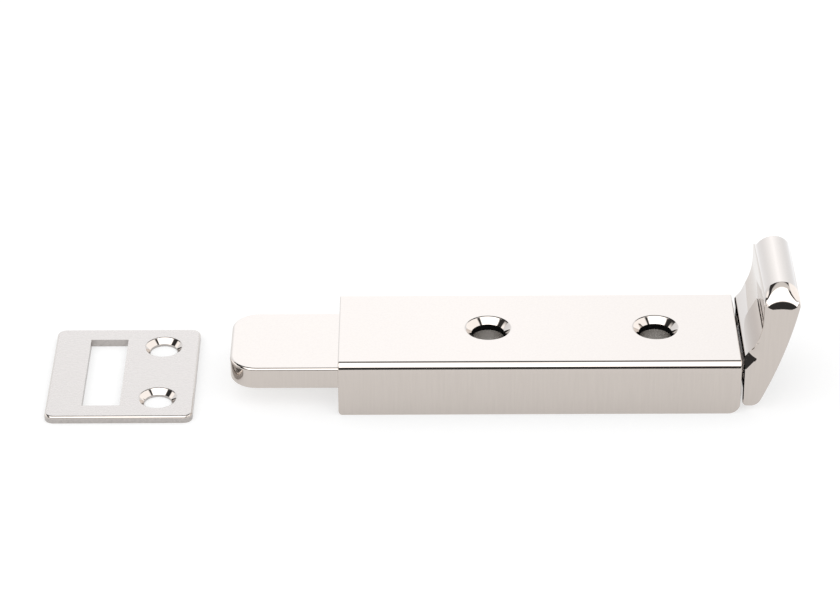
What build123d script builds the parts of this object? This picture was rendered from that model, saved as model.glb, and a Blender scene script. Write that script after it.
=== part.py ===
from build123d import *
import math
import os

# Toggle bolt latch: a surface-mounted slide bolt with a toggle lever on its tail, and its loose strike plate.
#
# Row frame, millimetres: the origin is midway between the two mounting holes, on the mounting plane.
# +X runs from the bolt's nose towards the lever, +Z away from the mounting plane, +Y across the latch.
# Everything is drawn at rest: bolt thrown (extended towards -X), lever upright.

# ---- driving dimensions -------------------------------------------------------------------------

# housing
HOUSING_LEFT = -44.5
HOUSING_RIGHT = 31.5
HOUSING_WIDTH = 26.5
HOUSING_HEIGHT = 11.25
TOP_WALL = 2.4
SIDE_WALL = 2.6
END_BLOCK = 8.5
TOP_EDGE_ROUND = 1.5
LEFT_HEEL_ROUND = 0.8
RIGHT_HEEL_ROUND = 2.2
SMALL_ROUND = 0.25

# mounting holes
HOLE_PITCH = 32.0
HOLE_R = 3.2
COUNTERSINK_R = 4.37
HOLE_XS = (-HOLE_PITCH / 2, HOLE_PITCH / 2)

# base plate and its screws
BASE_T = 1.6
BASE_LIP = 2.0
BASE_PLAY = 0.05
BASE_SCREW_R = 1.25
BASE_SCREW_HEAD_R = 2.2
BASE_SCREW_TOP = 3.5
BASE_SCREW_INSET = 5.0
BASE_SCREW_Y = 7.0

# screw sleeves and the bushes round them
SLEEVE_R = 3.8
BUSH_R = 4.5
FIT_PLAY = 0.03

# sliding bolt
TRAVEL = 20.0
BOLT_LEFT = -65.16
BOLT_RIGHT = HOUSING_RIGHT - 0.3
BOLT_WIDTH = 20.7
BOLT_BOTTOM = 4.17
BOLT_T = 4.4
BOLT_TOP = BOLT_BOTTOM + BOLT_T
BOLT_NOSE_ROUND = 5.2
BOLT_EDGE_ROUND = 0.4
SLOT_HALF_WIDTH = BUSH_R + 0.12
WINDOW_PLAY = 0.1

# glide strips above the bolt, friction shoes and their springs below it
STRIP_T = 0.2
STRIP_Y = (5.2, 9.4)
SHOE_XS = (-28.0, 0.0)
SHOE_LENGTH = 12.0
SHOE_WIDTH = 16.0
SHOE_BOTTOM = 2.8
SHOE_TOP = BOLT_BOTTOM - 0.06
PEG_R = 1.0
PEG_Y = 6.0
SPRING_STRIP_T = 0.3
SPRING_WIDTH = 7.0

# lever, in a local frame that starts at the housing's right end
LEVER_WIDTH = 24.0
LEVER_GAP = 0.5
HEEL_BOTTOM = 0.93
FACE_TOP = 11.3
FINGER_FACE_X = 3.66
FINGER_FACE_Z = 19.6
BEAD_X = 7.05
BEAD_Z = 22.9
BEAD_R = 3.4
BEAD_END_ROUND = 3.1
BACK_SLOPE_TOP = 10.8
BACK_MID = (7.81, 12.2)
BACK_LOW = (4.5, 3.4)
HEEL_CORNER_X = 3.4
HEEL_FRONT_ROUND = 0.9
HEEL_BACK_ROUND = 2.0
FORK_HALF = 5.35
FORK_ROOF = 9.0
FORK_DEPTH = 4.1
FORK_THROUGH_Z = 4.7

# lever pivot
PIVOT_X = HOUSING_RIGHT + 2.7
PIVOT_Z = 2.8
PIN_R = 0.9
LEVER_BORE_R = 0.95
PIN_NEAR_END = -10.0
PIN_FAR_END = 11.8
KNUCKLE_R = 1.45
KNUCKLE_HALF = 4.9
SPRING_POCKET_HALF = 2.1
LAP_LENGTH = 8.0
LAP_T = 2.2
RIVET_R = 1.2
RIVET_Y = 3.0

# lever return spring
WIRE_R = 0.14
COIL_R = 1.12
COIL_TURNS = 5.5
COIL_PITCH = 0.6
ARM_LENGTH = 3.2

# strike plate
STRIKE_LEFT = -100.05
STRIKE_LENGTH = 28.0
STRIKE_WIDTH = 32.0
STRIKE_T = 1.5
STRIKE_Y = 0.2
STRIKE_CORNER = 1.75
STRIKE_EDGE_ROUND = 0.3
STRIKE_SLOT_START = 6.8
STRIKE_SLOT = (7.25, 24.0)
STRIKE_HOLE_X = 21.1
STRIKE_HOLE_PITCH = 18.6
STRIKE_HOLE_R = 2.65
STRIKE_SINK_R = 3.62

# ---- shared shapes ------------------------------------------------------------------------------


def block(x_range, y_range, z_range):
    """A box between two corners."""
    size = [high - low for low, high in (x_range, y_range, z_range)]
    centre = [(high + low) / 2 for low, high in (x_range, y_range, z_range)]
    return Pos(*centre) * Box(*size)


def upright(radius, x, y, z_low, z_high):
    """A cylinder along Z."""
    return Pos(x, y, (z_low + z_high) / 2) * Cylinder(radius, z_high - z_low)


def crosswise(radius, x, z, y_low, y_high):
    """A cylinder along Y."""
    return Pos(x, (y_low + y_high) / 2, z) * Rot(90, 0, 0) * Cylinder(radius, y_high - y_low)


def countersink(x, y, z_top, sink_radius, hole_radius):
    """The 90 degree cone that seats a screw head, wide end up and a little above the face."""
    proud = 0.2
    depth = sink_radius - hole_radius
    cone = Cone(hole_radius, sink_radius + proud, depth + proud)
    return Pos(x, y, z_top + proud - (depth + proud) / 2) * cone


def side_extrusion(face, half_width):
    """A face drawn in X and Z, extruded to both sides of the XZ plane."""
    return extrude(Plane.XZ * face, amount=half_width, both=True)


def long_slot(x_low, x_high, half_width, z_low, z_high):
    """A slot along X with round ends."""
    straight = block((x_low + half_width, x_high - half_width), (-half_width, half_width), (z_low, z_high))
    left_end = upright(half_width, x_low + half_width, 0, z_low, z_high)
    right_end = upright(half_width, x_high - half_width, 0, z_low, z_high)
    return straight + left_end + right_end


def save(shape, node):
    """Write one node, as a single solid or as a group of separate solids."""
    solids = shape.solids()
    piece = solids[0] if len(solids) == 1 else Compound(children=list(solids))
    export_step(piece, f"parts/{node}.step")


# ---- housing and what is fixed in it ------------------------------------------------------------

CAVITY_LEFT = HOUSING_LEFT + END_BLOCK
CAVITY_RIGHT = HOUSING_RIGHT - END_BLOCK
CAVITY_HALF = HOUSING_WIDTH / 2 - SIDE_WALL
CAVITY_TOP = HOUSING_HEIGHT - TOP_WALL
PLATE_LEFT = HOUSING_LEFT + BASE_LIP
PLATE_RIGHT = HOUSING_RIGHT - BASE_LIP
SCREW_SPOTS = [
    (x, y)
    for x in (HOUSING_LEFT + BASE_SCREW_INSET, HOUSING_RIGHT - BASE_SCREW_INSET)
    for y in (-BASE_SCREW_Y, BASE_SCREW_Y)
]


def make_housing():
    half = HOUSING_WIDTH / 2
    body = block((HOUSING_LEFT, HOUSING_RIGHT), (-half, half), (0, HOUSING_HEIGHT))
    body = fillet(body.edges().filter_by(Axis.X).group_by(Axis.Z)[-1], TOP_EDGE_ROUND)
    heel_edges = body.edges().filter_by(Axis.Y).group_by(Axis.Z)[0].sort_by(Axis.X)
    body = fillet(heel_edges[-1], RIGHT_HEEL_ROUND)
    heel_edges = body.edges().filter_by(Axis.Y).group_by(Axis.Z)[0].sort_by(Axis.X)
    body = fillet(heel_edges[0], LEFT_HEEL_ROUND)
    top_end_edges = body.edges().filter_by(Axis.Y).group_by(Axis.Z)[-1]
    body = fillet(top_end_edges, SMALL_ROUND)

    cavity = block((CAVITY_LEFT, CAVITY_RIGHT), (-CAVITY_HALF, CAVITY_HALF), (-1, CAVITY_TOP))
    plate_seat = block((PLATE_LEFT, PLATE_RIGHT), (-CAVITY_HALF, CAVITY_HALF), (-1, BASE_T))
    window_half = BOLT_WIDTH / 2 + WINDOW_PLAY
    window = block(
        (HOUSING_LEFT - 1, HOUSING_RIGHT + 1),
        (-window_half, window_half),
        (BOLT_BOTTOM - WINDOW_PLAY, BOLT_TOP + WINDOW_PLAY),
    )
    body = body - cavity - plate_seat - window
    for x in HOLE_XS:
        body -= upright(HOLE_R, x, 0, CAVITY_TOP - 1, HOUSING_HEIGHT + 1)
        body -= countersink(x, 0, HOUSING_HEIGHT, COUNTERSINK_R, HOLE_R)
    for x, y in SCREW_SPOTS:
        body -= upright(BASE_SCREW_R + FIT_PLAY, x, y, 0, BASE_SCREW_TOP + 0.2)
    return body


def make_base_plate():
    half = CAVITY_HALF - BASE_PLAY
    plate = block((PLATE_LEFT + BASE_PLAY, PLATE_RIGHT - BASE_PLAY), (-half, half), (0, BASE_T))
    plate = fillet(plate.edges().filter_by(Axis.Z), 0.5)
    for x in HOLE_XS:
        plate -= upright(SLEEVE_R + FIT_PLAY, x, 0, -1, BASE_T + 1)
    for x in SHOE_XS:
        for y in (-PEG_Y, PEG_Y):
            plate -= upright(PEG_R + FIT_PLAY, x, y, -1, BASE_T + 1)
    for x, y in SCREW_SPOTS:
        plate -= upright(BASE_SCREW_R + FIT_PLAY, x, y, -1, BASE_T + 1)
        plate -= Pos(x, y, 0) * Rot(180, 0, 0) * countersink(0, 0, 0, BASE_SCREW_HEAD_R, BASE_SCREW_R)
    return plate


def make_base_screws():
    """Four countersunk screws, heads flush with the mounting plane and a hexagon socket in each."""
    socket_across = 1.5
    head_depth = BASE_SCREW_HEAD_R - BASE_SCREW_R
    screws = []
    for x, y in SCREW_SPOTS:
        head = Pos(x, y, head_depth / 2) * Cone(BASE_SCREW_HEAD_R - FIT_PLAY, BASE_SCREW_R, head_depth)
        screw = head + upright(BASE_SCREW_R, x, y, head_depth, BASE_SCREW_TOP)
        socket = extrude(RegularPolygon(socket_across / 2, 6, major_radius=False), amount=0.9)
        screws.append(screw - Pos(x, y, 0) * socket)
    return Compound(children=screws)


def make_spacer_sleeve(x):
    """The steel tube that carries a mounting screw's clamping force past the bolt."""
    return upright(SLEEVE_R, x, 0, 0, CAVITY_TOP) - upright(HOLE_R, x, 0, -1, CAVITY_TOP + 1)


def make_slot_bush(x):
    """The plastic collar on a sleeve that the bolt's slot runs along."""
    z_low = BASE_T
    z_high = CAVITY_TOP - 0.05
    bush = upright(BUSH_R, x, 0, z_low, z_high)
    bush -= upright(SLEEVE_R + FIT_PLAY, x, 0, z_low - 1, z_high + 1)
    return bush


def make_glide_strip(side):
    y_low, y_high = sorted(side * y for y in STRIP_Y)
    margin = 0.5
    strip = block(
        (CAVITY_LEFT + margin, CAVITY_RIGHT - margin),
        (y_low, y_high),
        (CAVITY_TOP - STRIP_T, CAVITY_TOP),
    )
    return fillet(strip.edges().filter_by(Axis.Z), 1.0)


def make_friction_shoe(x):
    half_length = SHOE_LENGTH / 2
    half_width = SHOE_WIDTH / 2
    shoe = block((x - half_length, x + half_length), (-half_width, half_width), (SHOE_BOTTOM, SHOE_TOP))
    shoe = fillet(shoe.edges().filter_by(Axis.Z), 1.5)
    shoe = chamfer(shoe.edges().filter_by(Axis.Y).group_by(Axis.Z)[-1], 0.35)
    for y in (-PEG_Y, PEG_Y):
        shoe += upright(PEG_R, x, y, 0.4, SHOE_BOTTOM + 0.2)
    return shoe


def make_shoe_spring(x):
    """A bent leaf: two feet on the base plate and a crown that pushes the shoe up against the bolt."""
    foot_end, foot_start, crown_end = 5.2, 3.9, 2.2
    low, high = BASE_T, SHOE_BOTTOM
    slope_inset = 0.12
    outline = [
        (-foot_end, low),
        (-foot_start + slope_inset, low),
        (-crown_end + slope_inset, high - SPRING_STRIP_T),
        (crown_end - slope_inset, high - SPRING_STRIP_T),
        (foot_start - slope_inset, low),
        (foot_end, low),
        (foot_end, low + SPRING_STRIP_T),
        (foot_start, low + SPRING_STRIP_T),
        (crown_end, high),
        (-crown_end, high),
        (-foot_start, low + SPRING_STRIP_T),
        (-foot_end, low + SPRING_STRIP_T),
    ]
    leaf = side_extrusion(make_face(Polyline(*outline, close=True)), SPRING_WIDTH / 2)
    return Pos(x, 0, 0) * leaf


# ---- bolt and its tail --------------------------------------------------------------------------


def make_bolt_bar():
    half = BOLT_WIDTH / 2
    bar = block((BOLT_LEFT, BOLT_RIGHT), (-half, half), (BOLT_BOTTOM, BOLT_TOP))
    bar = fillet(bar.edges().filter_by(Axis.Z).group_by(Axis.X)[0], BOLT_NOSE_ROUND)
    rims = bar.faces().filter_by(Axis.Z).edges()
    bar = fillet(rims, BOLT_EDGE_ROUND)
    for x in HOLE_XS:
        slot_left = x - TRAVEL - SLOT_HALF_WIDTH
        slot_right = x + SLOT_HALF_WIDTH
        bar -= long_slot(slot_left, slot_right, SLOT_HALF_WIDTH, BOLT_BOTTOM - 1, BOLT_TOP + 1)
    lap_half = KNUCKLE_HALF + 0.35
    bar -= block(
        (BOLT_RIGHT - LAP_LENGTH, BOLT_RIGHT + 1),
        (-lap_half, lap_half),
        (BOLT_BOTTOM - 1, BOLT_BOTTOM + LAP_T),
    )
    for x, y in RIVET_SPOTS:
        bar -= upright(RIVET_R, x, y, BOLT_BOTTOM, BOLT_TOP + 1)
    return bar


RIVET_SPOTS = [(BOLT_RIGHT - LAP_LENGTH / 2, y) for y in (-RIVET_Y, RIVET_Y)]


def make_tail_block():
    """The lap that is riveted under the bolt's end, and the two knuckles that hold the lever's pin."""
    tenon = block(
        (BOLT_RIGHT - LAP_LENGTH, BOLT_RIGHT),
        (-KNUCKLE_HALF, KNUCKLE_HALF),
        (BOLT_BOTTOM, BOLT_BOTTOM + LAP_T),
    )
    root = BOLT_RIGHT
    outline = [
        (root, BOLT_BOTTOM),
        (root, BOLT_TOP),
        (PIVOT_X - 1.6, BOLT_TOP),
        (PIVOT_X - 0.8, BOLT_TOP - 0.8),
        (PIVOT_X + 1.3, PIVOT_Z + 0.65),
        (PIVOT_X, PIVOT_Z),
        (PIVOT_X - 1.35, PIVOT_Z - 0.5),
        (PIVOT_X - 2.3, BOLT_BOTTOM),
    ]
    tongue = side_extrusion(make_face(Polyline(*outline, close=True)), KNUCKLE_HALF)
    knuckle = crosswise(KNUCKLE_R, PIVOT_X, PIVOT_Z, -KNUCKLE_HALF, KNUCKLE_HALF)
    tail = tenon + tongue + knuckle

    pocket_y = (-SPRING_POCKET_HALF, SPRING_POCKET_HALF)
    tail -= block((PIVOT_X - COIL_R - WIRE_R - 0.05, PIVOT_X + 3), pocket_y, (0, BOLT_TOP + 1))
    tail -= block((PIVOT_X - 2.4, PIVOT_X + 3), pocket_y, (0, BOLT_BOTTOM))
    tail -= crosswise(PIN_R, PIVOT_X, PIVOT_Z, -KNUCKLE_HALF - 1, KNUCKLE_HALF + 1)
    for x, y in RIVET_SPOTS:
        tail -= upright(RIVET_R, x, y, BOLT_BOTTOM - 1, BOLT_TOP)
    return tail


def make_tail_rivets():
    return Compound(children=[upright(RIVET_R, x, y, BOLT_BOTTOM, BOLT_TOP) for x, y in RIVET_SPOTS])


def make_pivot_pin():
    pin = crosswise(PIN_R, PIVOT_X, PIVOT_Z, PIN_NEAR_END, PIN_FAR_END)
    return chamfer(pin.edges().filter_by(GeomType.CIRCLE), 0.15)


def make_pivot_washers():
    """Two thin washers that centre the knuckles between the lever's ears."""
    washers = []
    for side in (-1, 1):
        y_low, y_high = sorted((side * (KNUCKLE_HALF + 0.05), side * (FORK_HALF - 0.05)))
        ring = crosswise(KNUCKLE_R - 0.05, PIVOT_X, PIVOT_Z, y_low, y_high)
        washers.append(ring - crosswise(PIN_R + FIT_PLAY, PIVOT_X, PIVOT_Z, y_low - 1, y_high + 1))
    return Compound(children=washers)


def make_return_spring():
    """A torsion spring on the pin: one arm on the bolt's tail, one behind the lever's front wall."""
    coil_height = COIL_TURNS * COIL_PITCH
    helix = Helix(pitch=COIL_PITCH, height=coil_height, radius=COIL_R, lefthand=True)
    start_plane = Plane(origin=helix @ 0, z_dir=helix % 0)
    coil = sweep(start_plane * Circle(WIRE_R), path=helix)
    spring = Pos(PIVOT_X, coil_height / 2, PIVOT_Z) * Rot(90, 0, 0) * coil
    for side in (1, -1):
        x = PIVOT_X + side * COIL_R
        y = side * coil_height / 2
        spring += upright(WIRE_R, x, y, PIVOT_Z, PIVOT_Z + ARM_LENGTH)
        spring += Pos(x, y, PIVOT_Z) * Sphere(WIRE_R * 1.05)
    return spring


# ---- lever --------------------------------------------------------------------------------------


def lever_outline():
    """The lever's side view: upright front face, concave finger face, round bead, sloping back, round heel."""
    front = LEVER_GAP
    slope = math.radians(BACK_SLOPE_TOP)
    back_top = (BEAD_X + BEAD_R * math.cos(slope), BEAD_Z - BEAD_R * math.sin(slope))
    bead_meets_front = BEAD_Z - math.sqrt(BEAD_R**2 - (BEAD_X - FINGER_FACE_X) ** 2)
    rise = FINGER_FACE_Z - FACE_TOP
    run = FINGER_FACE_X - front
    finger_radius = (rise**2 + run**2) / (2 * run)
    finger_mid_z = FINGER_FACE_Z - rise / 2
    finger_mid_x = FINGER_FACE_X - finger_radius + math.sqrt(finger_radius**2 - (rise / 2) ** 2)
    edges = [
        Line((front, HEEL_BOTTOM), (front, FACE_TOP)),
        ThreePointArc((front, FACE_TOP), (finger_mid_x, finger_mid_z), (FINGER_FACE_X, FINGER_FACE_Z)),
        Line((FINGER_FACE_X, FINGER_FACE_Z), (FINGER_FACE_X, bead_meets_front)),
        ThreePointArc((FINGER_FACE_X, bead_meets_front), (BEAD_X, BEAD_Z + BEAD_R), back_top),
        ThreePointArc(back_top, BACK_MID, BACK_LOW),
        Line(BACK_LOW, (HEEL_CORNER_X, HEEL_BOTTOM)),
        Line((HEEL_CORNER_X, HEEL_BOTTOM), (front, HEEL_BOTTOM)),
    ]
    face = make_face(Curve() + edges)
    corners = face.vertices().group_by(Axis.Y)[0].sort_by(Axis.X)
    face = fillet(corners[0], HEEL_FRONT_ROUND)
    corner = face.vertices().group_by(Axis.Y)[0].sort_by(Axis.X)[-1]
    return fillet(corner, HEEL_BACK_ROUND)


def make_toggle_lever():
    half = LEVER_WIDTH / 2
    lever = side_extrusion(Pos(HOUSING_RIGHT, 0) * lever_outline(), half)
    bead_top = BEAD_Z + BEAD_R
    end_view = block((HOUSING_RIGHT, HOUSING_RIGHT + 2 * BEAD_X), (-half, half), (0, bead_top))
    end_view = fillet(end_view.edges().filter_by(Axis.X).group_by(Axis.Z)[-1], BEAD_END_ROUND)
    lever = lever & end_view

    fork_outline = [
        (-1.0, -1.0),
        (-1.0, FORK_ROOF),
        (FORK_DEPTH - 1.2, FORK_ROOF),
        (FORK_DEPTH, FORK_ROOF - 1.2),
        (FORK_DEPTH, FORK_THROUGH_Z),
        (HEEL_CORNER_X + 5.0, FORK_THROUGH_Z),
        (HEEL_CORNER_X + 5.0, -1.0),
    ]
    fork = side_extrusion(Pos(HOUSING_RIGHT, 0) * make_face(Polyline(*fork_outline, close=True)), FORK_HALF)
    lever -= fork
    lever -= crosswise(LEVER_BORE_R, PIVOT_X, PIVOT_Z, PIN_NEAR_END - 0.1, half + 1)
    return lever


# ---- strike plate -------------------------------------------------------------------------------


def make_strike_plate():
    half = STRIKE_WIDTH / 2
    plate = block(
        (STRIKE_LEFT, STRIKE_LEFT + STRIKE_LENGTH),
        (STRIKE_Y - half, STRIKE_Y + half),
        (0, STRIKE_T),
    )
    plate = fillet(plate.edges().filter_by(Axis.Z), STRIKE_CORNER)
    plate = fillet(plate.faces().sort_by(Axis.Z)[-1].edges(), STRIKE_EDGE_ROUND)
    slot_left = STRIKE_LEFT + STRIKE_SLOT_START
    slot = block(
        (slot_left, slot_left + STRIKE_SLOT[0]),
        (STRIKE_Y - STRIKE_SLOT[1] / 2, STRIKE_Y + STRIKE_SLOT[1] / 2),
        (-1, STRIKE_T + 1),
    )
    plate -= slot
    for side in (-1, 1):
        x = STRIKE_LEFT + STRIKE_HOLE_X
        y = STRIKE_Y + side * STRIKE_HOLE_PITCH / 2
        plate -= upright(STRIKE_HOLE_R, x, y, -1, STRIKE_T + 1)
        plate -= countersink(x, y, STRIKE_T, STRIKE_SINK_R, STRIKE_HOLE_R)
    return plate


# ---- write every node ---------------------------------------------------------------------------

front_x, rear_x = HOLE_XS
front_shoe_x, centre_shoe_x = SHOE_XS

nodes = {
    "housing": make_housing(),
    "base_plate": make_base_plate(),
    "base_screws": make_base_screws(),
    "front_spacer_sleeve": make_spacer_sleeve(front_x),
    "rear_spacer_sleeve": make_spacer_sleeve(rear_x),
    "front_slot_bush": make_slot_bush(front_x),
    "rear_slot_bush": make_slot_bush(rear_x),
    "near_glide_strip": make_glide_strip(-1),
    "far_glide_strip": make_glide_strip(1),
    "front_friction_shoe": make_friction_shoe(front_shoe_x),
    "centre_friction_shoe": make_friction_shoe(centre_shoe_x),
    "front_shoe_spring": make_shoe_spring(front_shoe_x),
    "centre_shoe_spring": make_shoe_spring(centre_shoe_x),
    "bolt_bar": make_bolt_bar(),
    "tail_block": make_tail_block(),
    "tail_rivets": make_tail_rivets(),
    "lever_pivot_pin": make_pivot_pin(),
    "pivot_washers": make_pivot_washers(),
    "lever_return_spring": make_return_spring(),
    "toggle_lever": make_toggle_lever(),
    "strike_plate": make_strike_plate(),
}

os.makedirs("parts", exist_ok=True)
for name, shape in nodes.items():
    save(shape, name)
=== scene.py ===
import math

import bmesh
import bpy
from mathutils import Matrix, Vector


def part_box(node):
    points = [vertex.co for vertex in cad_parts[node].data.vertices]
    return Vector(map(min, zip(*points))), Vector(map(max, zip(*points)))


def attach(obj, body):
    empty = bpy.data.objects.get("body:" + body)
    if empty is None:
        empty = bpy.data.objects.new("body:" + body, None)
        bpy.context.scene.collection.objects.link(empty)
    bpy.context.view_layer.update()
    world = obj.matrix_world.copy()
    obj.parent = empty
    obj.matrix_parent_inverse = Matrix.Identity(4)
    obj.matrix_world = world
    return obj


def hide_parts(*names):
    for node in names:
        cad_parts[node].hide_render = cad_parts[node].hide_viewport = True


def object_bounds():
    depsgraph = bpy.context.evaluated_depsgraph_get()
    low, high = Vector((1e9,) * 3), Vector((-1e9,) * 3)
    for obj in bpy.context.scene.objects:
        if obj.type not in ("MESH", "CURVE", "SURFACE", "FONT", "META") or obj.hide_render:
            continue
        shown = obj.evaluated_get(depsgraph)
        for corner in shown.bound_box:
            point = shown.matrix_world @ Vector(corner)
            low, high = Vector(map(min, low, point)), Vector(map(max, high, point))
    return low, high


# A toggle bolt latch in polished stainless steel, with its loose strike plate, on a white studio floor.
# Shapes are worked out in millimetres, from the CAD boxes where a size comes from the frame,
# and turned into metres when a mesh is made. +X runs from the bolt's nose to the lever, +Z is up.

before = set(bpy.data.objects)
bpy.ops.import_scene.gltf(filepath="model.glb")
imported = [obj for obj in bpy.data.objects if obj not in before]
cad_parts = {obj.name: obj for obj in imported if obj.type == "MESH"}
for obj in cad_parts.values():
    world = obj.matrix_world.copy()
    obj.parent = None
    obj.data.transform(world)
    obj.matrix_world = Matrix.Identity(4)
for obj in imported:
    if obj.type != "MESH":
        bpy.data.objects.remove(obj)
cad_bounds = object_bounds()

MM = 0.001
ARC_STEPS = 10
ROUND_SEGMENTS = 128
MERGE_DISTANCE = 0.0005 * MM
SLIVER_LENGTH = 0.0002 * MM


def cad_box(node):
    """A CAD node's lowest and highest corner, in millimetres."""
    low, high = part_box(node)
    return [value / MM for value in low], [value / MM for value in high]


# ---- mesh tools ---------------------------------------------------------------------------------


def new_object(name, vertices, faces):
    """A mesh object from vertices in millimetres."""
    mesh = bpy.data.meshes.new(name)
    mesh.from_pydata([[c * MM for c in vertex] for vertex in vertices], [], faces)
    obj = bpy.data.objects.new(name, mesh)
    bpy.context.scene.collection.objects.link(obj)
    return obj


def fix_normals(obj):
    """Merge doubled vertices and turn every face outwards."""
    work = bmesh.new()
    work.from_mesh(obj.data)
    bmesh.ops.remove_doubles(work, verts=work.verts, dist=MERGE_DISTANCE)
    bmesh.ops.recalc_face_normals(work, faces=work.faces)
    work.to_mesh(obj.data)
    work.free()


def loft(name, loops):
    """Skin a row of closed loops that all have the same number of points, with a flat cap at each end."""
    count = len(loops[0])
    vertices = [point for loop in loops for point in loop]
    faces = []
    for row in range(len(loops) - 1):
        for i in range(count):
            j = (i + 1) % count
            faces.append((row * count + i, row * count + j, (row + 1) * count + j, (row + 1) * count + i))
    faces.append(tuple(range(count)))
    faces.append(tuple(range((len(loops) - 1) * count, len(loops) * count)))
    obj = new_object(name, vertices, faces)
    fix_normals(obj)
    return obj


def solid_lathe(name, profile, centre, axis="Z", segments=ROUND_SEGMENTS):
    """Turn an open profile of (radius, height) points about an axis, its ends closed across the axis."""
    loops = []
    for radius, height in profile:
        loop = []
        for s in range(segments):
            turn = 2 * math.pi * s / segments
            a, b = radius * math.cos(turn), radius * math.sin(turn)
            local = (a, b, height) if axis == "Z" else (a, height, b)
            loop.append([c + offset for c, offset in zip(centre, local)])
        loops.append(loop)
    return loft(name, loops)


def brick(name, x_range, y_range, z_range):
    """A plain box, used as a cutter."""
    loops = []
    for z in z_range:
        (x0, x1), (y0, y1) = x_range, y_range
        loops.append([(x0, y0, z), (x1, y0, z), (x1, y1, z), (x0, y1, z)])
    return loft(name, loops)


def subtract(target, cutters):
    """Cut each cutter out of the target, then delete the cutters."""
    for cutter in cutters:
        cut = target.modifiers.new("cut", "BOOLEAN")
        cut.operation = "DIFFERENCE"
        cut.solver = "EXACT"
        cut.object = cutter
    depsgraph = bpy.context.evaluated_depsgraph_get()
    result = bpy.data.meshes.new_from_object(target.evaluated_get(depsgraph))
    target.modifiers.clear()
    target.data = result
    for cutter in cutters:
        bpy.data.objects.remove(cutter, do_unlink=True)


def smooth(obj, sharp_angle=28.0):
    """Smooth shading that keeps flat faces flat and edges sharper than sharp_angle crisp."""
    work = bmesh.new()
    work.from_mesh(obj.data)
    bmesh.ops.remove_doubles(work, verts=work.verts, dist=MERGE_DISTANCE)
    bmesh.ops.dissolve_degenerate(work, edges=work.edges, dist=SLIVER_LENGTH)
    limit = math.radians(sharp_angle)
    for face in work.faces:
        face.smooth = True
    for edge in work.edges:
        edge.smooth = len(edge.link_faces) == 2 and edge.calc_face_angle(0.0) < limit
    work.to_mesh(obj.data)
    work.free()
    weighted = obj.modifiers.new("flat_faces", "WEIGHTED_NORMAL")
    weighted.keep_sharp = True
    weighted.weight = 80


def arc_points(centre, radius, start, end, steps=ARC_STEPS):
    """Points round an arc, angles in degrees."""
    points = []
    for i in range(steps + 1):
        angle = math.radians(start + (end - start) * i / steps)
        points.append((centre[0] + radius * math.cos(angle), centre[1] + radius * math.sin(angle)))
    return points


def worn_corner(size, crown=0.0, steps=ARC_STEPS * 2):
    """A polished corner from a side face to the top face, as (in from the side, down from the top) pairs.

    It turns slowly as it leaves the side face and faster towards the top, as buffing leaves it.
    A crown makes it turn slowly again where it meets the top."""
    points = [(0.0, 0.0)]
    step = math.pi / 2 / steps
    for i in range(steps):
        turn = (i + 0.5) * step
        from_side = math.exp(-math.degrees(turn) / 18.0)
        from_top = math.exp((math.degrees(turn) - 90.0) / 20.0)
        radius = size * (0.16 + from_side + crown * from_top)
        inward, up = points[-1]
        points.append((inward + radius * step * math.sin(turn), up + radius * step * math.cos(turn)))
    height = points[-1][1]
    return [(inward, height - up) for inward, up in points]


def rounded_rectangle(x_range, y_range, radii, inset=0.0):
    """Plan outline, corners in the order right-back, left-back, left-front, right-front."""
    x0, x1 = x_range[0] + inset, x_range[1] - inset
    y0, y1 = y_range[0] + inset, y_range[1] - inset
    signs = ((x1, y1, -1, -1, 0), (x0, y1, 1, -1, 90), (x0, y0, 1, 1, 180), (x1, y0, -1, 1, 270))
    outline = []
    for (x, y, sx, sy, start), radius in zip(signs, radii):
        r = max(radius - inset, 0.02)
        outline += arc_points((x + sx * r, y + sy * r), r, start, start + 90)
    return outline


def rounded_plate(name, x_range, y_range, z_range, radii, top_wear, bottom_round):
    """A flat plate with rounded corners in plan, a worn top rim and a round bottom rim."""
    loops = []
    steps = 6
    for i in range(steps + 1):
        angle = math.pi / 2 * i / steps
        inset = bottom_round * (1 - math.sin(angle))
        z = z_range[0] + bottom_round * (1 - math.cos(angle))
        loops.append([(x, y, z) for x, y in rounded_rectangle(x_range, y_range, radii, inset)])
    for inset, down in worn_corner(top_wear, crown=0.5, steps=14):
        z = z_range[1] - down
        loops.append([(x, y, z) for x, y in rounded_rectangle(x_range, y_range, radii, inset)])
    return loft(name, loops)


def countersunk_cutter(name, x, y, z_top, z_low, sink_radius, hole_radius, rim=0.5):
    """The space of a countersunk hole, with a small rounding where the cone meets the face."""
    tangent = rim * math.tan(math.radians(22.5))
    top_radius = sink_radius + tangent
    profile = [(top_radius, z_top + 1.0)]
    profile += arc_points((top_radius, z_top - rim), rim, 90, 135, 4)
    depth = sink_radius - hole_radius
    profile.append((hole_radius, z_top - depth))
    profile.append((hole_radius, z_low - 1.0))
    return solid_lathe(name, profile, (x, y, 0))


def long_slot(name, x_range, half_width, z_range):
    """A slot along X with round ends, used as a cutter."""
    left = (x_range[0] + half_width, 0)
    right = (x_range[1] - half_width, 0)
    outline = arc_points(right, half_width, -90, 90, 32) + arc_points(left, half_width, 90, 270, 32)
    return loft(name, [[(x, y, z) for x, y in outline] for z in z_range])


# ---- material tools -----------------------------------------------------------------------------


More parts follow.
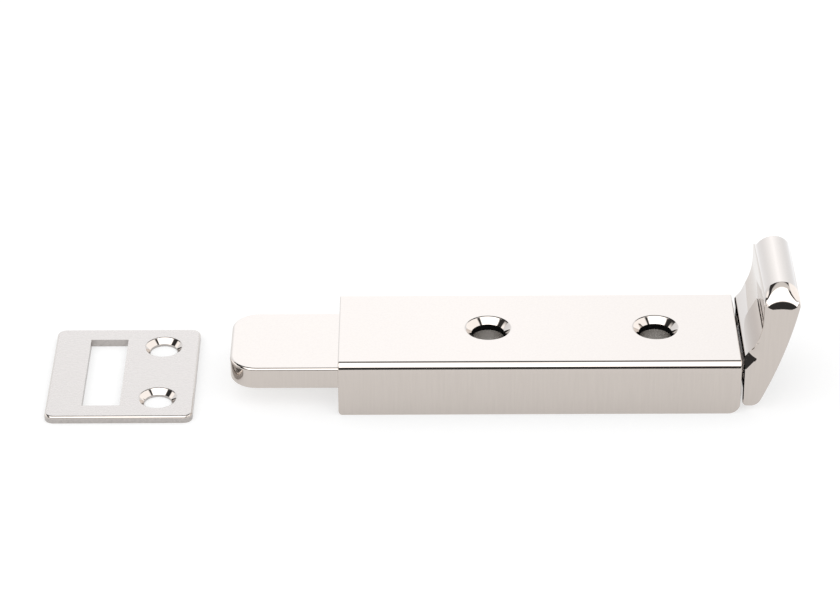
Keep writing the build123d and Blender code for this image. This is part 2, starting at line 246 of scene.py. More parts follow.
class Shader:
    """Short names for the node calls that every material here uses."""

    def __init__(self, name):
        self.material = bpy.data.materials.new(name)
        self.material.use_nodes = True
        self.tree = self.material.node_tree
        self.surface = self.tree.nodes["Principled BSDF"]

    def node(self, kind, **settings):
        made = self.tree.nodes.new(kind)
        for key, value in settings.items():
            setattr(made, key, value)
        return made

    def link(self, source, target):
        self.tree.links.new(source, target)

    def set(self, **values):
        for key, value in values.items():
            self.surface.inputs[key.replace("_", " ")].default_value = value

    def stretched_noise(self, scale, stretch, detail=4.0, roughness=0.55):
        """Noise in object space, drawn out along the axes where stretch is small."""
        place = self.node("ShaderNodeTexCoord")
        mapping = self.node("ShaderNodeMapping")
        mapping.inputs["Scale"].default_value = stretch
        noise = self.node("ShaderNodeTexNoise")
        noise.inputs["Scale"].default_value = scale
        noise.inputs["Detail"].default_value = detail
        noise.inputs["Roughness"].default_value = roughness
        self.link(place.outputs["Object"], mapping.inputs["Vector"])
        self.link(mapping.outputs["Vector"], noise.inputs["Vector"])
        return noise.outputs["Fac"]

    def remap(self, value, low, high, from_low=0.3, from_high=0.7):
        node = self.node("ShaderNodeMapRange")
        node.inputs["From Min"].default_value = from_low
        node.inputs["From Max"].default_value = from_high
        node.inputs["To Min"].default_value = low
        node.inputs["To Max"].default_value = high
        self.link(value, node.inputs["Value"])
        return node.outputs["Result"]

    def tint(self, value, low, high):
        """A colour between two, by value."""
        ramp = self.node("ShaderNodeValToRGB")
        ramp.color_ramp.elements[0].position = 0.3
        ramp.color_ramp.elements[1].position = 0.7
        ramp.color_ramp.elements[0].color = (*low, 1)
        ramp.color_ramp.elements[1].color = (*high, 1)
        self.link(value, ramp.inputs["Fac"])
        self.link(ramp.outputs["Color"], self.surface.inputs["Base Color"])

    def bump(self, height, strength, distance):
        node = self.node("ShaderNodeBump")
        node.inputs["Strength"].default_value = strength
        node.inputs["Distance"].default_value = distance * MM
        self.link(height, node.inputs["Height"])
        self.link(node.outputs["Normal"], self.surface.inputs["Normal"])


def metal(name, low, high, roughness, grain_scale, grain, bump_strength, bump_distance):
    """A metal whose tint, gloss and height all follow one stretched grain."""
    shader = Shader(name)
    shader.set(Metallic=1.0)
    fine = shader.stretched_noise(grain_scale, grain)
    shader.tint(fine, low, high)
    shader.link(shader.remap(fine, *roughness), shader.surface.inputs["Roughness"])
    shader.bump(fine, bump_strength, bump_distance)
    return shader.material


def plastic(name, low, high, roughness, bump_distance):
    """A moulded plastic with a faint even texture."""
    shader = Shader(name)
    shader.set(IOR=1.48)
    texture = shader.stretched_noise(1800.0, (1.0, 1.0, 1.0))
    shader.tint(texture, low, high)
    shader.link(shader.remap(texture, *roughness), shader.surface.inputs["Roughness"])
    shader.bump(texture, 0.4, bump_distance)
    return shader.material


POLISHED = metal(
    "polished_stainless", (0.555, 0.506, 0.47), (0.575, 0.526, 0.488), (0.03, 0.055),
    2600.0, (1.0, 1.0, 0.06), 0.05, 0.002,
)
SATIN = metal(
    "satin_stainless", (0.5, 0.463, 0.437), (0.53, 0.49, 0.463), (0.24, 0.3),
    3600.0, (0.06, 1.0, 1.0), 0.2, 0.004,
)
MACHINED = metal(
    "machined_steel", (0.42, 0.395, 0.38), (0.5, 0.47, 0.45), (0.26, 0.4),
    1500.0, (1.0, 0.1, 1.0), 0.3, 0.008,
)
SLEEVE = metal(
    "turned_sleeve_steel", (0.62, 0.6, 0.58), (0.68, 0.66, 0.64), (0.22, 0.28),
    500.0, (1.0, 1.0, 0.2), 0.05, 0.002,
)
ZINC = metal(
    "zinc_screw_steel", (0.36, 0.37, 0.39), (0.46, 0.47, 0.49), (0.25, 0.38),
    900.0, (1.0, 1.0, 1.0), 0.2, 0.01,
)
SPRING = metal(
    "spring_steel", (0.22, 0.22, 0.24), (0.3, 0.3, 0.31), (0.25, 0.36),
    1600.0, (1.0, 0.1, 1.0), 0.2, 0.006,
)
BLACK_PLASTIC = plastic("black_acetal", (0.008, 0.008, 0.009), (0.014, 0.014, 0.015), (0.3, 0.45), 0.01)
# Painted shade: a black with no gloss, put on the housing's end face in the lever's gap and on the screw
# holes' straight walls, where those faces lie in shadow.
SHADED = plastic("painted_shade_black", (0.006, 0.006, 0.006), (0.012, 0.012, 0.012), (0.75, 0.9), 0.003)
SHADED.node_tree.nodes["Principled BSDF"].inputs["Specular IOR Level"].default_value = 0.0
WHITE_PLASTIC = plastic("white_glide_strip", (0.62, 0.62, 0.6), (0.7, 0.7, 0.68), (0.35, 0.5), 0.01)


def dress(obj, material, slot, body=None, replaces=()):
    """Give a piece its material, the body it rides on and the nodes it stands for. The slot is not used."""
    obj.data.materials.clear()
    obj.data.materials.append(material)
    if body:
        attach(obj, body)
    if replaces:
        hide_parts(*replaces)


def finish_or_shade_faces(obj, material, chosen):
    """Give the faces that chosen(centre in mm, normal) picks a second material, a real finish or painted
    shade.
    """
    obj.data.materials.append(material)
    last = len(obj.data.materials) - 1
    for face in obj.data.polygons:
        if chosen(face.center / MM, face.normal):
            face.material_index = last


# ---- housing ------------------------------------------------------------------------------------

HOLE_PITCH = 32.0
HOLE_XS = (-HOLE_PITCH / 2, HOLE_PITCH / 2)
HOLE_R = 3.2
SINK_R = 4.37
HOUSING_WEAR = 5.0
END_BLOCK = 8.5
TOP_WALL = 2.4
BOLT_PLAY = 0.1
PLATE_PLAY = 0.05

housing_low, housing_high = cad_box("housing")
bolt_low, bolt_high = cad_box("bolt_bar")
plate_low, plate_high = cad_box("base_plate")


def housing_loop(x, inset, bottom):
    """The housing's section at x: top corners worn round, bottom corners nearly sharp."""
    half = housing_high[1] - inset
    top = housing_high[2] - inset
    bottom_round = 0.2
    corner = worn_corner(HOUSING_WEAR)
    outline = [(half - inward, top - down) for inward, down in corner]
    outline += [(inward - half, top - down) for inward, down in reversed(corner)]
    outline += arc_points((-half + bottom_round, bottom + bottom_round), bottom_round, 180, 270, 3)
    outline += arc_points((half - bottom_round, bottom + bottom_round), bottom_round, 270, 360, 3)
    return [(x, y, z) for y, z in outline]


def make_housing():
    """The casing: lofted along X, then cut for the works inside, the bolt and the screw holes."""
    left, right = housing_low[0], housing_high[0]
    end_round = 0.25
    left_heel, right_heel = 0.8, 2.2
    stations = set()
    for end, inwards, heel in ((left, 1, left_heel), (right, -1, right_heel)):
        for radius in (end_round, heel):
            for i in range(ARC_STEPS + 1):
                depth = radius * (1 - math.cos(math.pi / 2 * i / ARC_STEPS))
                stations.add(round(end + inwards * depth, 5))
    loops = []
    for x in sorted(stations):
        from_left, from_right = x - left, right - x
        near = min(from_left, from_right, end_round)
        inset = end_round - math.sqrt(end_round**2 - (end_round - near) ** 2)
        bottom = 0.0
        for distance, radius in ((from_left, left_heel), (from_right, right_heel)):
            if distance < radius:
                bottom = radius - math.sqrt(radius**2 - (radius - distance) ** 2)
        loops.append(housing_loop(x, inset, bottom))
    housing = loft("housing_shell", loops)

    cavity_half = plate_high[1] + PLATE_PLAY
    cavity_top = housing_high[2] - TOP_WALL
    cavity_x = (left + END_BLOCK, right - END_BLOCK)
    seat_x = (plate_low[0] - PLATE_PLAY, plate_high[0] + PLATE_PLAY)
    window_y = (bolt_low[1] - BOLT_PLAY, bolt_high[1] + BOLT_PLAY)
    window_z = (bolt_low[2] - BOLT_PLAY, bolt_high[2] + BOLT_PLAY)
    cutters = [
        brick("cavity", cavity_x, (-cavity_half, cavity_half), (-1, cavity_top)),
        brick("seat", seat_x, (-cavity_half, cavity_half), (-1, plate_high[2])),
        brick("window", (left - 1, right + 1), window_y, window_z),
    ]
    for x in HOLE_XS:
        cutters.append(countersunk_cutter("hole", x, 0, housing_high[2], cavity_top, SINK_R, HOLE_R))
    subtract(housing, cutters)
    smooth(housing)
    dress(housing, POLISHED, "polished_steel", "housing_body", ["housing"])

    def in_shade(centre, normal):
        """The faces that get painted shade: the end face in the lever's gap, and the straight walls of the
        screw holes.
        """
        at_end = normal.x > 0.99 and centre.x > right - 0.02
        in_hole = min(math.hypot(centre.x - x, centre.y) for x in HOLE_XS) < HOLE_R + 0.05
        return at_end or (in_hole and abs(normal.z) < 0.3)

    # The end face and the hole walls get painted shade, flat black where they lie in shadow.
    finish_or_shade_faces(housing, SHADED, in_shade)


make_housing()

# ---- sliding bolt -------------------------------------------------------------------------------


BOLT_NOSE_ROUND = 5.2
BOLT_TAIL_ROUND = 0.3
BOLT_TRAVEL = 20.0
SLOT_HALF = 4.62
LAP_LENGTH = 8.0
LAP_HALF = 5.25
LAP_THICKNESS = 2.2
RIVET_YS = (-3.0, 3.0)
RIVET_HOLE_R = 1.22


def make_bolt():
    """The flat bolt: two slots that clear the screws, a lap under the tail and the rivets' two holes."""
    radii = (BOLT_TAIL_ROUND, BOLT_NOSE_ROUND, BOLT_NOSE_ROUND, BOLT_TAIL_ROUND)
    x_range, y_range, z_range = zip(bolt_low, bolt_high)
    bolt = rounded_plate("bolt", x_range, y_range, z_range, radii, top_wear=1.4, bottom_round=0.4)
    above = 12
    cutters = []
    for x in HOLE_XS:
        slot_x = (x - BOLT_TRAVEL - SLOT_HALF, x + SLOT_HALF)
        cutters.append(long_slot("slot", slot_x, SLOT_HALF, (0, above)))
    lap_x = (bolt_high[0] - LAP_LENGTH, bolt_high[0] + 1)
    cutters.append(brick("lap", lap_x, (-LAP_HALF, LAP_HALF), (0, bolt_low[2] + LAP_THICKNESS)))
    for y in RIVET_YS:
        spot = (bolt_high[0] - LAP_LENGTH / 2, y, 0)
        hole = [(RIVET_HOLE_R, 0), (RIVET_HOLE_R, above)]
        cutters.append(solid_lathe("rivet_hole", hole, spot, segments=64))
    subtract(bolt, cutters)
    smooth(bolt)
    dress(bolt, POLISHED, "polished_steel", "bolt_body", ["bolt_bar"])


make_bolt()

# ---- toggle lever -------------------------------------------------------------------------------

lever_low, lever_high = cad_box("toggle_lever")

# The outline: the front face, the concave finger face above it, the bead at the top, the back and the heel.
# The corner gaps leave the front and finger faces' shared corner slightly cut off.
LEVER_FRONT = lever_low[0]
LEVER_THIN_RIM = 0.3
FACE_TOP = 11.3
BEAD_R = 3.4
BEAD_X = lever_high[0] - BEAD_R
BEAD_Z = lever_high[2] - BEAD_R
FINGER_X = LEVER_FRONT + 3.16
FINGER_Z = 19.6
CORNER_GAP_Z = 0.3
CORNER_GAP_ANGLE = 1.2
FRONT_HEEL = 0.9
BACK_HEEL = 2.0
BACK_SLOPE = 10.8
BACK_MIDDLE = (LEVER_FRONT + 7.31, 12.2)
BACK_LOW = (LEVER_FRONT + 4.0, 3.4)
HEEL_CORNER_X = LEVER_FRONT + 2.9

# The dome at each end of the bead: the angles round the bead that it spans and over which it rises, its
# depth and its bend, and the line across the side face where it ends, which sags in the middle.
DOME_ENDS = (-6.0, 186.0)
DOME_RISE = 45.0
DOME_DROP = 3.3
DOME_BEND = 3.0
DOME_MARGIN = 0.45
DOME_LINE_Z = BEAD_Z + 0.4
DOME_SAG = 2.0

# The slanting facet at the corner of the front and finger faces: its lowest and highest point on the
# outline, the heights over which it begins and fades out, its steepness from one end to the other, and
# its inner edge.
FACET_LOW = 9.0
FACET_HIGH = 14.7
FACET_RISE = 0.8
FACET_FADE = 2.6
FACET_SLOPES = (0.45, 0.72)
FACET_EDGE = ((0.3, 9.0), (1.9, 10.6), (4.1, 12.9), (2.5, 14.8))
FACET_SAMPLES = 300

# The fork that takes the tail block, and the bore for the pivot pin, blind on the near side.
FORK_HALF = 5.35
FORK_ROOF = 9.0
FORK_THROUGH = 4.7
FORK_DEPTH = LEVER_FRONT + 3.6
FORK_BEVEL = 1.2
BORE_R = 0.95
BORE_END_Y = -10.1
PIVOT_X = LEVER_FRONT + 2.2
PIVOT_Z = 2.8


def three_point_arc(start, middle, end, steps):
    """Points round the circle through three points, from start to end."""
    (ax, ay), (bx, by), (cx, cy) = start, middle, end
    a2, b2, c2 = ax * ax + ay * ay, bx * bx + by * by, cx * cx + cy * cy
    d = 2 * (ax * (by - cy) + bx * (cy - ay) + cx * (ay - by))
    centre_x = (a2 * (by - cy) + b2 * (cy - ay) + c2 * (ay - by)) / d
    centre_y = (a2 * (cx - bx) + b2 * (ax - cx) + c2 * (bx - ax)) / d
    radius = math.hypot(ax - centre_x, ay - centre_y)
    first = math.degrees(math.atan2(ay - centre_y, ax - centre_x))
    last = math.degrees(math.atan2(cy - centre_y, cx - centre_x))
    turn = (last - first + 180) % 360 - 180
    return arc_points((centre_x, centre_y), radius, first, first + turn, steps)


def ease(value, low, high):
    """0 below low, 1 above high, smooth between."""
    t = min(max((value - low) / (high - low), 0.0), 1.0)
    return t * t * (3 - 2 * t)


# A rim is the rounding between the lever's outline and its side face: how far it reaches in from the
# outline, how far the outline lies below the side face, the profile that it mixes with a round one and
# by how much, and for the dome and the facet the point in the side face that it reaches to.


def round_slope(s):
    return 1 - math.sqrt(max(1 - s * s, 0.0))


def straight_slope(s):
    return s


def dome_slope(s):
    return (math.exp(DOME_BEND * s) - 1) / (math.exp(DOME_BEND) - 1)


def thin_rim(x, z):
    """An edge with a small even rounding."""
    return LEVER_THIN_RIM, LEVER_THIN_RIM, round_slope, 0.0, None


def facet_edge_point(t):
    """A point on the facet's inner edge, a smooth curve through its four control points."""
    weights = ((1 - t) ** 3, 3 * t * (1 - t) ** 2, 3 * t * t * (1 - t), t**3)
    x = LEVER_FRONT + sum(weight * point[0] for weight, point in zip(weights, FACET_EDGE))
    z = sum(weight * point[1] for weight, point in zip(weights, FACET_EDGE))
    return x, z


def corner_rim(x, z):
    """A slanting facet where the front face turns into the finger face.

    Each point of the outline slants down to the nearest point on the facet's inner edge."""
    if not FACET_LOW < z < FACET_HIGH:
        return thin_rim(x, z)
    edge = [facet_edge_point(i / FACET_SAMPLES) for i in range(FACET_SAMPLES + 1)]
    width, nearest = min((math.hypot(ex - x, ez - z), i) for i, (ex, ez) in enumerate(edge))
    steepness = FACET_SLOPES[0] + (FACET_SLOPES[1] - FACET_SLOPES[0]) * nearest / FACET_SAMPLES
    rising = ease(z, FACET_LOW, FACET_LOW + FACET_RISE)
    fading = 1 - ease(z, FACET_HIGH - FACET_FADE, FACET_HIGH)
    lens = min(rising, fading)
    drop = LEVER_THIN_RIM + max(steepness * width - LEVER_THIN_RIM, 0.0) * lens
    return LEVER_THIN_RIM, drop, straight_slope, lens, (*edge[nearest], 1.0)


def bead_rim(x, z):
    """The bead's end is a dome: its rim reaches deep into the side face, to a sagging line across it."""
    angle = (math.degrees(math.atan2(z - BEAD_Z, x - BEAD_X)) + 90) % 360 - 90
    from_end = min(angle - DOME_ENDS[0], DOME_ENDS[1] - angle)
    lift = math.sin(math.pi / 2 * ease(from_end, 0.0, DOME_RISE))
    drop = LEVER_THIN_RIM + (DOME_DROP - LEVER_THIN_RIM) * lift
    share = min(max((x - BEAD_X + BEAD_R) / (2 * BEAD_R), 0.0), 1.0)
    target_x = BEAD_X + (BEAD_R - DOME_MARGIN) * (2 * share - 1)
    target_z = DOME_LINE_Z - DOME_SAG * math.sin(math.pi * share) ** 0.5
    return LEVER_THIN_RIM, drop, dome_slope, lift, (target_x, target_z, ease(lift, 0.0, 0.3))


def lever_outline():
    """The side view, clockwise from the heel, as (x, z, reach, drop, profile, mix, target) rows."""
    x0, bottom = LEVER_FRONT, lever_low[2]
    outline = []

    def add(points, rim):
        outline.extend((x, z, *rim(x, z)) for x, z in points)

    add(arc_points((x0 + FRONT_HEEL, bottom + FRONT_HEEL), FRONT_HEEL, 270, 180), thin_rim)
    face_low, face_high, face_steps = bottom + FRONT_HEEL, FACE_TOP - CORNER_GAP_Z, 24
    face = [(x0, face_low + (face_high - face_low) * i / face_steps) for i in range(1, face_steps + 1)]
    add(face, corner_rim)

    rise, run = FINGER_Z - FACE_TOP, FINGER_X - x0
    finger_r = (rise**2 + run**2) / (2 * run)
    low_angle = -math.degrees(math.asin(rise / finger_r))
    finger_centre = (FINGER_X - finger_r, FINGER_Z)
    add(arc_points(finger_centre, finger_r, low_angle + CORNER_GAP_ANGLE, 0, 48), corner_rim)

    left_angle = 180 + math.degrees(math.acos((BEAD_X - FINGER_X) / BEAD_R))
    add(arc_points((BEAD_X, BEAD_Z), BEAD_R, left_angle, -BACK_SLOPE, 90), bead_rim)

    slope = math.radians(BACK_SLOPE)
    back_top = (BEAD_X + BEAD_R * math.cos(slope), BEAD_Z - BEAD_R * math.sin(slope))
    add(three_point_arc(back_top, BACK_MIDDLE, BACK_LOW, 40)[1:], thin_rim)

    rising = math.atan2(BACK_LOW[1] - bottom, BACK_LOW[0] - HEEL_CORNER_X)
    tangent = BACK_HEEL / math.tan((math.pi - rising) / 2)
    heel_centre = (HEEL_CORNER_X - tangent, bottom + BACK_HEEL)
    add(arc_points(heel_centre, BACK_HEEL, math.degrees(rising) - 90, -90, 14), thin_rim)
    return outline


def lever_rings(outline):
    """The outline's rims, from one side face over the lever's width to the other."""
    half = lever_high[1]
    steps = 18
    count = len(outline)
    rings = []
    angles = [math.pi / 2 * i / steps for i in range(steps + 1)]
    for side, order in ((-1, reversed(angles)), (1, angles)):
        for angle in order:
            ring = []
            across = 1 - math.cos(angle)
            for i, (x, z, reach, drop, profile, mix, target) in enumerate(outline):
                before, after = outline[i - 1], outline[(i + 1) % count]
                dx, dz = after[0] - before[0], after[1] - before[1]
                length = math.hypot(dx, dz)
                inner_x, inner_z = x + dz / length * reach, z - dx / length * reach
                if target:
                    target_x, target_z, share = target
                    inner_x += (target_x - inner_x) * share
                    inner_z += (target_z - inner_z) * share
                outwards = math.cos(angle)
                y = half - drop * (mix * profile(outwards) + (1 - mix) * round_slope(outwards))
                ring.append((x + (inner_x - x) * across, side * y, z + (inner_z - z) * across))
            rings.append(ring)
    return rings


def make_lever():
    """The lever, skinned across its width, with the fork and the pin's bore cut out."""
    lever = loft("lever", lever_rings(lever_outline()))
    outside = 6
    fork = [
        (LEVER_FRONT - 1, -1),
        (LEVER_FRONT - 1, FORK_ROOF),
        (FORK_DEPTH - FORK_BEVEL, FORK_ROOF),
        (FORK_DEPTH, FORK_ROOF - FORK_BEVEL),
        (FORK_DEPTH, FORK_THROUGH),
        (FORK_DEPTH + outside, FORK_THROUGH),
        (FORK_DEPTH + outside, -1),
    ]
    fork_cutter = loft("fork", [[(x, y, z) for x, z in fork] for y in (-FORK_HALF, FORK_HALF)])
    bore = [(BORE_R, BORE_END_Y), (BORE_R, lever_high[1] + 1)]
    bore_cutter = solid_lathe("bore", bore, (PIVOT_X, 0, PIVOT_Z), axis="Y", segments=64)
    subtract(lever, [fork_cutter, bore_cutter])
    smooth(lever)
    dress(lever, POLISHED, "polished_steel", "lever_body", ["toggle_lever"])


make_lever()

# ---- strike plate -------------------------------------------------------------------------------

strike_low, strike_high = cad_box("strike_plate")
STRIKE_CORNER = 1.75
SLOT_START = 6.8
SLOT_WIDTH = 7.25
SLOT_LENGTH = 24.0
STRIKE_HOLE_X = 21.1
STRIKE_HOLE_YS = (-9.3, 9.3)
STRIKE_SINK_R = 3.62
STRIKE_HOLE_R = 2.65
STRIKE_SINK_RIM = 0.35


def make_strike():
    """The slotted strike plate: a satin face, polished rims and machined walls."""
    x_range, y_range, z_range = zip(strike_low, strike_high)
    strike = rounded_plate(
        "strike", x_range, y_range, z_range, (STRIKE_CORNER,) * 4, top_wear=1.2, bottom_round=0.08
    )
    middle = (strike_low[1] + strike_high[1]) / 2
    slot_x = (strike_low[0] + SLOT_START, strike_low[0] + SLOT_START + SLOT_WIDTH)
    slot_y = (middle - SLOT_LENGTH / 2, middle + SLOT_LENGTH / 2)
    cutters = [brick("strike_slot", slot_x, slot_y, (-1, 3))]
    hole_x, top = strike_low[0] + STRIKE_HOLE_X, strike_high[2]
    for y in STRIKE_HOLE_YS:
        sizes = (STRIKE_SINK_R, STRIKE_HOLE_R, STRIKE_SINK_RIM)
        cutters.append(countersunk_cutter("strike_hole", hole_x, middle + y, top, -1, *sizes))
    subtract(strike, cutters)
    smooth(strike)
    dress(strike, SATIN, "satin_steel", "strike_body", ["strike_plate"])
    finish_or_shade_faces(strike, POLISHED, lambda centre, normal: abs(normal.z) < 0.95)
    finish_or_shade_faces(strike, MACHINED, lambda centre, normal: abs(normal.z) < 0.12)


make_strike()

# ---- the frame's own inner pieces ---------------------------------------------------------------

INNER_PIECES = {
    "base_plate": (SATIN, "satin_steel"),
    "base_screws": (ZINC, "screw_steel"),
    "front_spacer_sleeve": (SLEEVE, "plain_steel"),
    "rear_spacer_sleeve": (SLEEVE, "plain_steel"),
    "front_slot_bush": (BLACK_PLASTIC, "black_plastic"),
    "rear_slot_bush": (BLACK_PLASTIC, "black_plastic"),
    "near_glide_strip": (WHITE_PLASTIC, "white_plastic"),
    "far_glide_strip": (WHITE_PLASTIC, "white_plastic"),
    "front_friction_shoe": (BLACK_PLASTIC, "black_plastic"),
    "centre_friction_shoe": (BLACK_PLASTIC, "black_plastic"),
    "front_shoe_spring": (SPRING, "spring_steel"),
    "centre_shoe_spring": (SPRING, "spring_steel"),
    "tail_block": (MACHINED, "plain_steel"),
    "tail_rivets": (MACHINED, "plain_steel"),
    "lever_pivot_pin": (MACHINED, "plain_steel"),
    "pivot_washers": (MACHINED, "plain_steel"),
    "lever_return_spring": (SPRING, "spring_steel"),
}
for node, (material, slot) in INNER_PIECES.items():
    dress(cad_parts[node], material, slot)

# ---- floor --------------------------------------------------------------------------------------
# The near floor ends close behind the latch, so that the lever's finger face mirrors the back wall.

FLOOR_Z = -0.02
NEAR_MARGIN = 110.0
BACK_MARGIN = 45.0
FLOOR_REACH = 2500.0
FLOOR_ALBEDO = 0.48
FLOOR_GLOW = 0.6


def floor_shader():
    """White paper: part of its light is its own, so that shadows stay faint as on an overlit table."""
    shader = Shader("studio_floor")
    shader.set(Roughness=0.9, Base_Color=(FLOOR_ALBEDO,) * 3 + (1,))
    shader.set(Specular_IOR_Level=0.0, Emission_Color=(1, 1, 1, 1), Emission_Strength=FLOOR_GLOW)
    return shader.material


def make_floor():
    """A near floor, and a far floor round it that the metal doesn't mirror."""
    low, high = cad_bounds
    x0, x1 = low[0] / MM - NEAR_MARGIN, high[0] / MM + NEAR_MARGIN
    y0, y1 = low[1] / MM - NEAR_MARGIN, high[1] / MM + BACK_MARGIN
    near = [(x0, y0, FLOOR_Z), (x1, y0, FLOOR_Z), (x1, y1, FLOOR_Z), (x0, y1, FLOOR_Z)]
    signs = [(-1, -1), (1, -1), (1, 1), (-1, 1)]
    far = [(x * FLOOR_REACH, y * FLOOR_REACH, FLOOR_Z) for x, y in signs]
    ring = [(i, (i + 1) % 4, 4 + (i + 1) % 4, 4 + i) for i in range(4)]
    material = floor_shader()
    for name, vertices, faces in (("near_floor", near, [(0, 1, 2, 3)]), ("far_floor", far + near, ring)):
        floor = new_object(name, vertices, faces)
        floor.data.materials.append(material)
    floor.visible_glossy = False


make_floor()

# ---- studio light -------------------------------------------------------------------------------
# The metal mirrors a white back wall, a grey ceiling with a dark gap on its far side, a wide softbox above
# the camera with dark below it, and bright panels on the left and right. Each area is a pair of lists of
# (degrees, level): by angle over the top, from the back horizon (0) through the zenith (90) to the front
# horizon (180), and by angle to the side, from left (-90) to right (90). Matt surfaces and the camera see
# the plain table light instead, and a mirrored ray that starts from a matt surface sees no light.

WALL_TINT = (1.0, 1.04, 1.085)
WALL_LEVEL = 1.68
SOFTBOX_LEVEL = 2.8
PANEL_LEVEL = 1.7
CEILING_LEVEL = 1.0
DARK_LEVEL = 0.05
WALL = (
    [(0, 1.0), (44, 1.0), (49, 0.0)],
    [(-62, 0.66), (-29, 0.72), (-3, 1.0), (1, 1.0), (5, 0.95), (29, 0.7), (60, 0.55)],
)
SOFTBOX = (
    [(97, 0.0), (103, 1.0), (162, 1.0), (167, 0.0)],
    [(-43, 0.0), (-38, 1.0), (24, 1.0), (29, 0.0)],
)
CEILING_GLOW = (
    [(78, 0.0), (84, 1.0), (97, 1.0), (103, 0.0)],
    [(-40, 0.0), (-36, 1.0)],
)
PANELS = (
    ([(68, 1.0), (74, 0.0)], [(-53, 1.0), (-49, 0.0)]),
    ([(112, 0.0), (117, 1.0), (155, 1.0), (160, 0.0)], [(-50, 0.0), (-46, 1.0), (-42, 1.0), (-38, 0.0)]),
    ([(0, 1.0), (162, 1.0), (167, 0.0)], [(-70, 1.0), (-66, 0.0)]),
    ([(0, 1.0), (162, 1.0), (167, 0.0)], [(34, 0.0), (38, 1.0)]),
)
TABLE_LIGHT = [(0, 0.8), (70, 0.8), (110, 1.2), (180, 1.2)]


class WorldPattern:
    """Short names for the world's node calls, on values by direction."""

    def __init__(self, tree):
        self.tree = tree
        direction = self.node("ShaderNodeTexCoord").outputs["Generated"]
        split = self.node("ShaderNodeSeparateXYZ")
        tree.links.new(direction, split.inputs[0])
        x, y, z = split.outputs
        above = self.calc("ABSOLUTE", z)
        squares = self.calc("ADD", self.calc("MULTIPLY", y, y), self.calc("MULTIPLY", z, z))
        upright = self.calc("SQRT", squares)
        self.over = self.calc("DIVIDE", self.calc("ARCTAN2", above, y), math.pi)
        side = self.calc("DIVIDE", self.calc("ARCTAN2", x, upright), math.pi)
        self.side = self.calc("ADD", side, 0.5)

    def node(self, kind, **settings):
        made = self.tree.nodes.new(kind)
        for key, value in settings.items():
            setattr(made, key, value)
        return made

    def calc(self, operation, *values):
        made = self.node("ShaderNodeMath", operation=operation)
        for socket, value in zip(made.inputs, values):
            if isinstance(value, (int, float)):
                socket.default_value = value
            else:
                self.tree.links.new(value, socket)
        return made.outputs[0]

    def steps(self, value, stops, first_degree, peak=1.0):
        """A level by angle, from (degrees, level) stops; value runs 0 to 1 over 180 degrees."""
        ramp = self.node("ShaderNodeValToRGB")
        elements = ramp.color_ramp.elements
        while len(elements) < len(stops):
            elements.new(0.5)
        for element, (degrees, level) in zip(elements, stops):
            element.position = (degrees - first_degree) / 180
            element.color = (level / peak, level / peak, level / peak, 1)
        self.tree.links.new(value, ramp.inputs["Fac"])
        return self.calc("MULTIPLY", ramp.outputs["Color"], peak)

    def patch(self, stops_over, stops_side):
        """An area of light, by its angles over the top and to the side."""
        by_over = self.steps(self.over, stops_over, 0)
        by_side = self.steps(self.side, stops_side, -90)
        return self.calc("MULTIPLY", by_over, by_side)


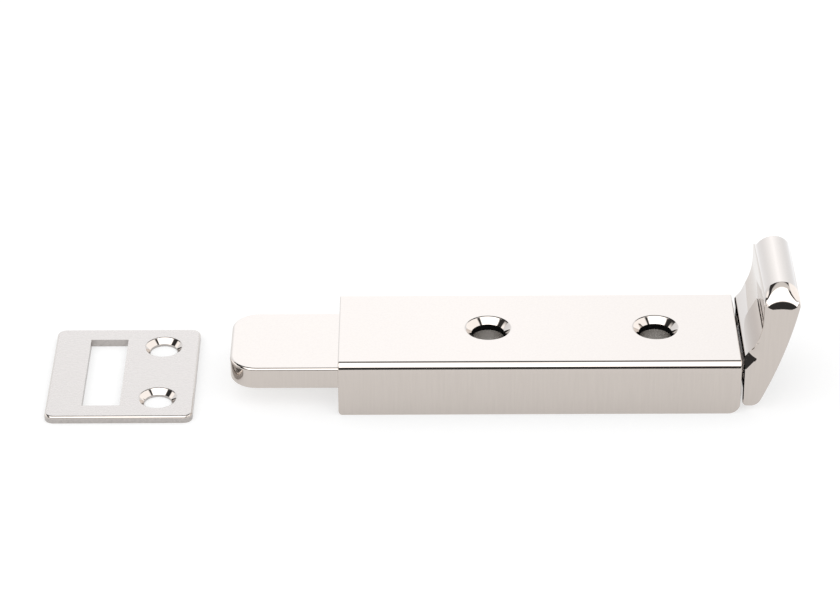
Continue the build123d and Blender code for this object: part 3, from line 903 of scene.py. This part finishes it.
def make_world():
    """The studio that the metal mirrors, and the table light for everything else."""
    world = bpy.data.worlds.new("studio")
    bpy.context.scene.world = world
    world.use_nodes = True
    world.cycles.sampling_method = "NONE"
    tree = world.node_tree
    tree.nodes.clear()
    sky = WorldPattern(tree)

    wall_light = sky.calc("MULTIPLY", sky.patch(*WALL), WALL_LEVEL)
    softbox_light = sky.calc("MULTIPLY", sky.patch(*SOFTBOX), SOFTBOX_LEVEL)
    ceiling_light = sky.calc("MULTIPLY", sky.patch(*CEILING_GLOW), CEILING_LEVEL)
    plain_light = sky.calc("ADD", sky.calc("ADD", softbox_light, ceiling_light), DARK_LEVEL)
    panel = 0.0
    for stops in PANELS:
        panel = sky.calc("MAXIMUM", sky.patch(*stops), panel)
    gloss_colour = sky.node("ShaderNodeCombineXYZ")
    for socket, tint in zip(gloss_colour.inputs, WALL_TINT):
        tinted = sky.calc("ADD", sky.calc("MULTIPLY", wall_light, tint), plain_light)
        with_panel = sky.calc("MAXIMUM", tinted, sky.calc("MULTIPLY", panel, PANEL_LEVEL))
        tree.links.new(with_panel, socket)
    path = sky.node("ShaderNodeLightPath")
    no_diffuse_before = sky.calc("LESS_THAN", path.outputs["Diffuse Depth"], 0.5)
    seen_by_gloss = sky.calc("MULTIPLY", path.outputs["Is Glossy Ray"], no_diffuse_before)
    not_by_gloss = sky.calc("SUBTRACT", 1.0, path.outputs["Is Glossy Ray"])
    table_light = sky.calc("MULTIPLY", sky.steps(sky.over, TABLE_LIGHT, 0, peak=2.0), not_by_gloss)
    mixed = sky.node("ShaderNodeMix", data_type="RGBA")
    tree.links.new(seen_by_gloss, mixed.inputs["Factor"])
    colour_in = [socket for socket in mixed.inputs if socket.type == "RGBA"]
    colour_out = [socket for socket in mixed.outputs if socket.type == "RGBA"]
    tree.links.new(table_light, colour_in[0])
    tree.links.new(gloss_colour.outputs[0], colour_in[1])
    background = sky.node("ShaderNodeBackground")
    tree.links.new(colour_out[0], background.inputs["Color"])
    output = sky.node("ShaderNodeOutputWorld")
    tree.links.new(background.outputs[0], output.inputs["Surface"])


make_world()

# ---- camera -------------------------------------------------------------------------------------

CAMERA_PLACE = (-29.55, -550.69, 342.42)
CAMERA_PITCH = 30.544
CAMERA_YAW = 0.059
CAMERA_ROLL = -0.19
CAMERA_LENS = 144.157


def make_camera():
    """A long lens, 30.5 degrees above the floor, square on to the housing's long side."""
    pitch, yaw, roll = (math.radians(value) for value in (CAMERA_PITCH, CAMERA_YAW, CAMERA_ROLL))
    forward = Vector((math.sin(yaw) * math.cos(pitch), math.cos(yaw) * math.cos(pitch), -math.sin(pitch)))
    level_right = Vector((math.cos(yaw), -math.sin(yaw), 0))
    level_up = level_right.cross(forward)
    right = math.cos(roll) * level_right + math.sin(roll) * level_up
    up = right.cross(forward)
    data = bpy.data.cameras.new("camera")
    data.sensor_width = 36.0
    data.lens = CAMERA_LENS
    data.clip_start = 0.01
    data.clip_end = 20.0
    camera = bpy.data.objects.new("camera", data)
    bpy.context.scene.collection.objects.link(camera)
    rotation = Matrix((right, up, -forward)).transposed().to_4x4()
    camera.matrix_world = Matrix.Translation(Vector(CAMERA_PLACE) * MM) @ rotation
    bpy.context.scene.camera = camera


make_camera()
bpy.context.scene.view_settings.view_transform = "Standard"
